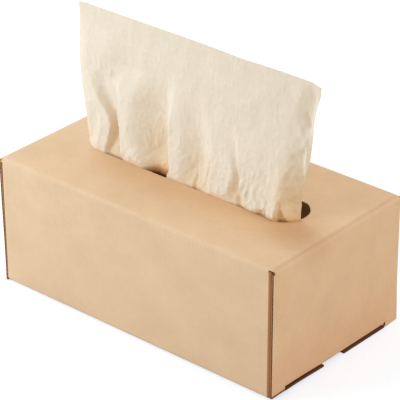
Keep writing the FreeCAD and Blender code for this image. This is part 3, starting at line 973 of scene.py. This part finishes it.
# its sharper creases: x and height of both ends, how far each stands out, and how wide it is
CREASES = [
    (53.5, 91, 67.5, 98.5, 1.6, 1.4), (77.4, 101.5, 84, 91.8, 1.6, 1.1),
    (75.2, 104, 75.4, 91, 1.0, 0.9), (75.3, 142, 86.1, 128, -0.8, 1.6),
    (84, 133, 92, 155, 0.9, 1.5), (79.5, 126, 88.5, 143, -1.0, 1.2), (76, 118, 89, 146, 0.8, 1.2),
    (81, 158, 90, 140, 0.9, 1.3), (86, 168, 92, 150, -0.9, 1.2), (72, 134, 84, 112, -0.7, 1.2),
    (-88.5, 136.5, -66, 113, 0.9, 1.8), (-83, 150, -97, 134, -0.7, 2.0),
    (44, 108, 52.5, 91, 0.8, 1.2), (37, 104, 44, 92, 0.9, 1.5), (-47, 92, -38, 104, 0.7, 1.6),
    (20, 93, 26, 118, 0.7, 2.2), (-58, 152, -36, 163, 0.9, 4.0), (-64, 126, -61, 105, 0.5, 1.2),
    (60, 118, 71, 106, -0.5, 1.8), (86.5, 120, 84, 92, 0.8, 1.2), (-72, 93, -79, 108, 0.7, 1.8),
    (28, 150, 62, 168, 0.6, 4.5), (76.8, 110, 77.6, 127, 0.6, 1.1), (81.4, 103, 82, 95.5, 0.5, 0.7),
    (83.4, 103, 83.8, 94, -0.6, 0.7), (84.9, 105, 85.4, 93, 0.6, 0.7),
    (80.4, 100, 83.6, 96.5, 0.4, 0.7), (49, 104, 56, 92.5, 0.9, 1.1),
    (58, 97.5, 66.5, 94.5, 0.9, 1.0), (66, 178, 93, 164, -0.7, 3.0),
    (88, 184, 96, 170, -0.8, 2.5), (-90, 172, -62, 158, 0.6, 4.5),
]

# faint random creases: how many all over it and in its base's right end, and their seed
SMALL_CREASES, CRUMPLES, CREASE_SEED = 170, 46, 11

# where they are: the half width, lowest place and height that the first take up, and the x from and
# to, lowest place and height that the others take up
SCATTER_HALF, SCATTER_LOW, SCATTER_TALL = 92, 90, 92
CRUMPLE_X, CRUMPLE_LOW, CRUMPLE_TALL = (46, 86), 91, 15

# the fine crinkles: their sizes across and up, those of the crossed ones, and how far and over what
# size they bend. Their depth, how much deeper they are at the base, and where that ends
FINE_SIZE, CROSS_SIZE, BEND_BY, BEND_SIZE = (2.6, 8.5), (6, 3.4), 2.5, 15
CRINKLE, MORE_CRINKLE, MORE_CRINKLE_END = 0.3, 0.34, (150, 60)


def through(points, heights, column=1):
    """A smooth value at each height, through a list of points that start with a height."""
    known = [point[0] for point in points]
    values = [point[column] for point in points]
    fine, width = np.linspace(known[0], known[-1], 340), 7
    rough = np.pad(np.interp(fine, known, values), width, mode="reflect", reflect_type="odd")
    kernel = np.hanning(2 * width + 1)
    return np.interp(heights, fine, np.convolve(rough, kernel / kernel.sum(), "valid"))


def eased(share):
    share = np.clip(share, 0, 1)
    return share * share * (3 - 2 * share)


def rising(place, start, way):
    """0 up to the start, and 1 from some way past it."""
    return eased((place - start) / way)


def falling(place, end, way):
    """1 until some way before the end, and 0 from the end."""
    return eased((end - place) / way)


def small_creases():
    """Short faint creases: scattered ones, and crumples in the right end of the tissue's base."""
    chance = np.random.default_rng(CREASE_SEED)
    for i in range(SMALL_CREASES + CRUMPLES):
        if i < SMALL_CREASES:
            low = chance.random() ** 1.9
            x = SCATTER_HALF * (1 - 2 * chance.random() ** 1.35)
            z = SCATTER_LOW + SCATTER_TALL * low
            height = chance.uniform(0.2, 0.8) * (1 - 0.7 * low)
        else:
            x = chance.uniform(*CRUMPLE_X)
            z = CRUMPLE_LOW + CRUMPLE_TALL * chance.random() ** 1.5
            height = chance.uniform(0.35, 1.1)
        angle, half = chance.normal(1.5, 0.8), chance.uniform(2.5, 8)
        ends = x - half * cos(angle), z - half * sin(angle), x + half * cos(angle), z + half * sin(angle)
        yield (*ends, chance.choice((-1, 1)) * height, chance.uniform(0.6, 1.4))


def creased(x, z):
    """How far the paper's creases push it forwards, over a grid of places."""
    push = np.zeros_like(x)
    for x0, z0, x1, z1, height, width in [*CREASES, *small_creases()]:
        run = np.array([x1 - x0, z1 - z0])
        length = np.linalg.norm(run)
        along = ((x - x0) * run[0] + (z - z0) * run[1]) / length
        across = ((x - x0) * run[1] - (z - z0) * run[0]) / length
        taper = eased(along / length * 3) * eased((1 - along / length) * 3)
        push += height * taper * np.exp(-np.sqrt((across / width) ** 2 + 0.08))
    return push


def swells(x, z):
    """The paper's broad soft unevenness. A place's last number picks a slice of the noise."""
    waves = []
    for px, pz in zip(x.ravel(), z.ravel()):
        broad = noise.noise(Vector((px / 30, pz / 38, 3)))
        waves.append(broad + 0.4 * noise.noise(Vector((px / 11, pz / 16, 7))))
    return np.array(waves).reshape(x.shape)


def slot_front(x):
    """How far forwards the tissue's base can be: y of the slot's front edge."""
    past = np.clip(np.abs(x) - (SLOT_LENGTH - SLOT_WIDTH) / 2, 0, SLOT_WIDTH / 2)
    return TISSUE_PLY - np.sqrt((SLOT_WIDTH / 2) ** 2 - past**2) + SLOT_SKEW[1] * skewed(x)


def crinkles(x, z):
    """The paper's fine crinkles: thin ridges that run mostly up the sheet, strongest at its base."""
    ridges = []
    for px, pz in zip(x.ravel(), z.ravel()):
        bend = BEND_BY * noise.noise(Vector((px / BEND_SIZE, pz / BEND_SIZE, 21)))
        fine = noise.noise(Vector(((px + bend) / FINE_SIZE[0], pz / FINE_SIZE[1], 11)))
        across, up = px + 0.7 * pz, pz - 0.7 * px + 2 * bend
        cross = noise.noise(Vector((across / CROSS_SIZE[0], up / CROSS_SIZE[1], 17)))
        ridges.append(abs(fine) + 0.8 * abs(cross))
    depth = CRINKLE + MORE_CRINKLE * falling(z, *MORE_CRINKLE_END)
    return np.array(ridges).reshape(x.shape) * depth


def valley_depths(x, z, heights):
    """How far the valleys push the paper back, over a grid of places."""
    valley = np.zeros_like(x)
    for points in VALLEYS:
        low, high, depth, slope, back = (through(points, heights, i)[:, None] for i in range(1, 6))
        depth = np.where(z > points[-1][0], 0, depth)
        valley += depth * rising(x, low, slope) * falling(x, high, back)
    return valley


def painted_shades(x, z, valley):
    """The painted shade in the paper's valleys, at the slot and inside the carton: 0 is none, and 1 or
    more is deep.
    """
    # painted shade in the valleys, in listed places, at the slot, and inside the carton
    painted_shade = np.clip(valley / WARM_VALLEY, 0, 1) * falling(z, *WARM_VALLEY_END)
    for share, start, end, top in WARM_PLACES:
        painted_shade += share * rising(x, *start) * falling(x, *end) * falling(z, *top)
    at_slot = WARM_SLOT + WARM_SLOT_VALLEY * np.clip(valley / SLOT_VALLEY, 0, 1)
    painted_shade += falling(z, *WARM_SLOT_END) * at_slot
    return WARM_INSIDE + (painted_shade - WARM_INSIDE) * rising(z, *INSIDE_END)


def hung(x, y, z):
    """y and z once the top edge has its shallow dip and its corners hang."""
    near_top = rising(z, *TOP_START)
    z = z + (TOP_RAISED - DIP * np.exp(-(((x - DIP_PLACE) / DIP_WIDTH) ** 2))) * near_top
    for side, droop, reach in CORNER_DROOPS:
        hang = rising(side * x, CORNER_END - reach, reach) * rising(z, *TOP_START)
        y, z = y - droop * CORNER_LEAN * hang, z - droop * hang
    return y, z


def tissue_places(shares, heights):
    """x, y and z of the standing tissue, and its painted shade, over shares of its width and heights."""
    left, right = (through(edge, heights)[:, None] for edge in (LEFT_EDGE, RIGHT_EDGE))
    left_y, right_y = (through(edge, heights, 2)[:, None] for edge in (LEFT_EDGE, RIGHT_EDGE))
    front = through(FRONT, heights)[:, None]
    x = left + (right - left) * shares[None, :]
    z = np.repeat(heights[:, None], len(shares), 1)
    y = front + (left_y - front) * np.exp(-(((x - left) / LEFT_TURN[0]) ** LEFT_TURN[1]))
    y += (right_y - front) * (1 - np.clip((right - x) / RIGHT_TURN[0], 0, 1)) ** RIGHT_TURN[1]
    rest = falling(z, *REST_END) * rising(z, *REST_START)
    more = MORE_OVER * rising(x, *MORE_OVER_START) * falling(x, *MORE_OVER_END)
    y += rest * (slot_front(x) - (OVER + more) * rising(z, *OVER_LEVEL) - y)
    valley = valley_depths(x, z, heights)
    loose = creased(x, z) + crinkles(x, z) + SWELL * swells(x, z) * falling(z, *SWELL_END)
    y += valley - loose * (1 - np.exp(-(((z - HEIGHT) / HELD_REACH) ** 2)))
    y = np.where(z < EDGE_HOLDS, np.maximum(y, slot_front(x)), y)
    painted_shade = painted_shades(x, z, valley)
    y, z = hung(x, y, z)
    return x, y, z, painted_shade


def laid_row(root_x, root_y, shares, step):
    """A row of the tissue's lower part: it bends, lies on the pile, then goes over its back edge.

    The root is its lowest standing row, and the step is the way down the sheet from there.
    """
    middle, turn = root_y.mean(), BEND * pi / 2
    flat = PILE_BACK - PILE_EDGE - (middle + BEND)
    spread = ease(step / SPREAD)
    x = root_x + (np.interp(shares, [0, 1], [-LAID_HALF, LAID_HALF]) - root_x) * spread
    ruffle = (root_y - middle) * (1 - spread)
    wave = 0.5 * (1 + np.sin(x / 9 + step / 11)) * spread * (0.6 + 0.4 * np.sin(x / 23 - step / 7))
    if step < turn:
        angle = step / BEND
        y = middle + BEND * (1 - cos(angle)) + ruffle
        z = PILE_TOP + PILE_GAP + BEND * (1 - sin(angle)) + wave
    elif step < turn + flat:
        y = middle + BEND + step - turn + ruffle
        z = PILE_TOP + PILE_GAP + wave
    else:
        past, radius = step - turn - flat, PILE_EDGE + PILE_GAP
        angle = min(past / radius, pi / 2)
        drop = max(0.0, past - radius * pi / 2)
        y = PILE_BACK - PILE_EDGE + (radius + wave) * sin(angle) + ruffle
        z = PILE_TOP - PILE_EDGE + (radius + wave) * cos(angle) - drop
    return np.stack([x, y, z], 1)


def make_standing_tissue(material):
    """The tissue in the slot, with its lower part on the pile."""
    shares = np.linspace(0, 1, COLUMNS)
    tall = TISSUE_TOP - PILE_TOP - BEND - PILE_GAP
    levels, start = [], TISSUE_TOP - tall
    for end, step in LEVELS:
        levels += ticks([start, end], step)[:-1]
        start = end
    x, y, z, painted_shade = tissue_places(shares, np.array([TISSUE_TOP, *reversed(levels)]))
    laid = TISSUE - tall
    count = ceil(laid / LAID_STEP)
    lower = [laid_row(x[-1], y[-1], shares, (i + 1) / count * laid) for i in range(count)]
    grid = np.concatenate([np.stack([x, y, z], 2), np.stack(lower)])
    # the part on the pile, inside the carton, takes the inside's painted shade
    painted_shade = np.concatenate([painted_shade, np.full((count, len(shares)), WARM_INSIDE)])
    return sheet_piece("standing_tissue_sheet", grid, shares, painted_shade, material)


def sheet_piece(name, grid, shares, painted_shade, material):
    """A thin sheet through a grid of points, with its own flat places as a UV map."""
    count = grid.shape[1]
    bm = bmesh.new()
    flat = bm.loops.layers.uv.new("sheet")
    # each point's painted shade, which the tissue's material reads
    shade_layer = bm.verts.layers.float.new("painted_shade")
    verts = [bm.verts.new(Vector(point) * MM) for point in grid.reshape(-1, 3)]
    for vert, share in zip(verts, painted_shade.ravel()):
        vert[shade_layer] = share
    lengths = np.concatenate([[0], np.cumsum(np.linalg.norm(np.diff(grid.mean(1), axis=0), axis=1))])
    for row in range(len(grid) - 1):
        for column in range(count - 1):
            first = row * count + column
            ring = (first, first + count, first + count + 1, first + 1)
            face = bm.faces.new([verts[i] for i in ring])
            for loop, i in zip(face.loops, ring):
                loop[flat].uv = shares[i % count] * TISSUE * MM, lengths[i // count] * MM
    piece = new_piece(name, bm)
    thicken(piece, TISSUE_PLY, 0)
    finish_surface(piece, material)
    return piece


# ---------------------------------------------------------------- the pile of folded tissues

# its layers, how far each bulges, and the points along one of its long sides
PILE_LAYERS, LAYER_BULGE, PILE_RING = 56, 0.25, 28

# how uneven its sides are: a whole layer, and along a layer
LAYER_UNEVEN, SIDE_UNEVEN = 0.5, 0.3


def layer_out(level):
    """How far a level of the pile's side stands out: each folded layer bulges a little."""
    share = level * PILE_LAYERS % 1
    return LAYER_BULGE * (sin(pi * share) - 1)


def pile_ring(level, low, high):
    """A level of the pile: a rectangle whose long sides are rounded over at its top and bottom."""
    z = low[2] + (high[2] - low[2]) * level
    drop = max(0.0, PILE_EDGE - (z - low[2]), PILE_EDGE - (high[2] - z))
    inward = PILE_EDGE - (PILE_EDGE**2 - drop**2) ** 0.5
    layer = int(level * PILE_LAYERS * 0.999)
    uneven = [LAYER_UNEVEN * noise.noise(Vector((layer * 0.7, side * 9.1, 1))) for side in range(4)]
    side = high[1] - inward + layer_out(level)
    end = high[0] + layer_out(level) - PILE_GAP
    ring = []
    for way, seed, (long_out, end_out) in ((1, 2, uneven[:2]), (-1, 5, uneven[2:])):
        for i in range(PILE_RING):
            along = way * end * (1 - 2 * i / PILE_RING)
            ripple = SIDE_UNEVEN * noise.noise(Vector((along / 20, layer * 0.4, seed)))
            ring.append((along, way * side + long_out + ripple, z))
        for i in range(PILE_RING // 2):
            ring.append((end_out - way * end, way * side * (1 - 4 * i / PILE_RING), z))
    return ring


def make_tissue_pile(material):
    """The folded tissues, layer upon layer."""
    low, high = ([edge / MM for edge in corner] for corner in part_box("tissue_pile"))
    bm = bmesh.new()
    flat = bm.loops.layers.uv.new("sheet")
    rings = []
    for i in range(3 * PILE_LAYERS + 1):
        ring = pile_ring(i / (3 * PILE_LAYERS), low, high)
        rings.append([bm.verts.new(Vector(point) * MM) for point in ring])
    count = len(rings[0])
    for lower, upper in zip(rings, rings[1:]):
        for i in range(count):
            j = (i + 1) % count
            bm.faces.new((lower[i], lower[j], upper[j], upper[i]))
    bm.faces.new(rings[0][::-1])
    bm.faces.new(rings[-1])
    for face in bm.faces:
        for loop in face.loops:
            place = loop.vert.co
            loop[flat].uv = place.x, place.y + place.z
    bmesh.ops.recalc_face_normals(bm, faces=bm.faces)
    piece = new_piece("tissue_layers", bm)
    finish_surface(piece, material)
    return piece


# ---------------------------------------------------------------- floor, light and camera


# the floor's colour, the glow that whitens it and its strength, and the world's light
FLOOR_COLOUR, GLOW_COLOUR, GLOW = (0.62, 0.56, 0.49, 1), (0.80, 0.9, 1, 1), 0.62
FLOOR_SIZE, FLOOR_LEVEL, WORLD_LIGHT = 12, -0.02, 0.63

# the lamps: place, size, power, colour. They face the carton's middle
LAMPS = {
    "key": ((-0.6, -0.64, 0.38), 0.7, 7.9, (0.57, 0.77, 1.0)),
    "back": ((-0.9, 0.5, 0.8), 0.8, 5.0, (0.7, 0.88, 1.0)),
    "fill": ((1.3, 0.5, 0.8), 1.0, 8.7, (0.82, 0.9, 1.0)),
}
LAMPS_FACE = 0, 0, 0.06

# the photograph's view
LENS, SENSOR = 202.2, 36.0
CAMERA_PLACE, CAMERA_AIM = (0.8293, -0.9671, 0.7594), (-0.57222, 0.66926, -0.47397)


def seen_directly(tree):
    """1 for what the camera sees, itself or in a reflection or through something clear."""
    path = tree.add("ShaderNodeLightPath").outputs
    seen = tree.math("MAXIMUM", path["Is Camera Ray"], path["Is Glossy Ray"])
    return tree.math("MAXIMUM", seen, path["Is Transmission Ray"])


def make_floor():
    """A plain pale floor. It shows white to the camera, less the object's shadow."""
    bpy.ops.mesh.primitive_plane_add(size=FLOOR_SIZE)
    floor = bpy.context.object
    floor.name = "floor"
    floor.location.z = FLOOR_LEVEL * MM
    tree = Shading(bpy.data.materials.new("floor"))
    paint = tree.add("ShaderNodeBsdfDiffuse", {"Color": FLOOR_COLOUR})
    glow = tree.add("ShaderNodeEmission", {"Color": GLOW_COLOUR, "Strength": GLOW})
    whitened = tree.add("ShaderNodeAddShader", {0: paint.outputs[0], 1: glow.outputs[0]})
    floor.data.materials.append(tree.show(tree.mixed(seen_directly(tree), paint, whitened)))
    floor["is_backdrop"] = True


def make_world():
    """Soft light from all round, and white wherever the camera sees past the floor."""
    tree = Shading(bpy.data.worlds.new("studio"), "ShaderNodeOutputWorld")
    light, white = (
        tree.add("ShaderNodeBackground", {"Color": (1, 1, 1, 1), "Strength": strength})
        for strength in (WORLD_LIGHT, 1.0)
    )
    bpy.context.scene.world = tree.show(tree.mixed(seen_directly(tree), light, white))


def put(name, data, place, direction):
    """A lamp or camera in its place, looking along a direction."""
    holder = bpy.data.objects.new(name, data)
    holder.location = place
    holder.rotation_euler = Vector(direction).to_track_quat("-Z", "Y").to_euler()
    bpy.context.scene.collection.objects.link(holder)
    return holder


def make_lamps():
    """Square area lamps."""
    for name, (place, size, power, colour) in LAMPS.items():
        lamp = bpy.data.lights.new(name, "AREA")
        lamp.shape = "SQUARE"
        lamp.size, lamp.energy, lamp.color = size, power, colour
        put(name, lamp, place, Vector(LAMPS_FACE) - Vector(place))


def make_camera():
    data = bpy.data.cameras.new("camera")
    data.lens, data.sensor_width, data.clip_end = LENS, SENSOR, 50.0
    bpy.context.scene.camera = put("camera", data, CAMERA_PLACE, CAMERA_AIM)


make_floor()
make_world()
make_lamps()
make_camera()
make_carton()
paper = tissue_paper("tissue", (0.93, 0.775, 0.595))
tissue = make_standing_tissue(paper)
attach(tissue, "root")
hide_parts("standing_tissue")
pile = make_tissue_pile(tissue_paper("tissue_folded", (0.84, 0.68, 0.50)))
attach(pile, "root")
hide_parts("tissue_pile")

bpy.context.scene.view_settings.view_transform = "Standard"

boxes = {"cad": CAD_BOX, "visual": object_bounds()}
{name: [list(corner) for corner in box] for name, box in boxes.items()}
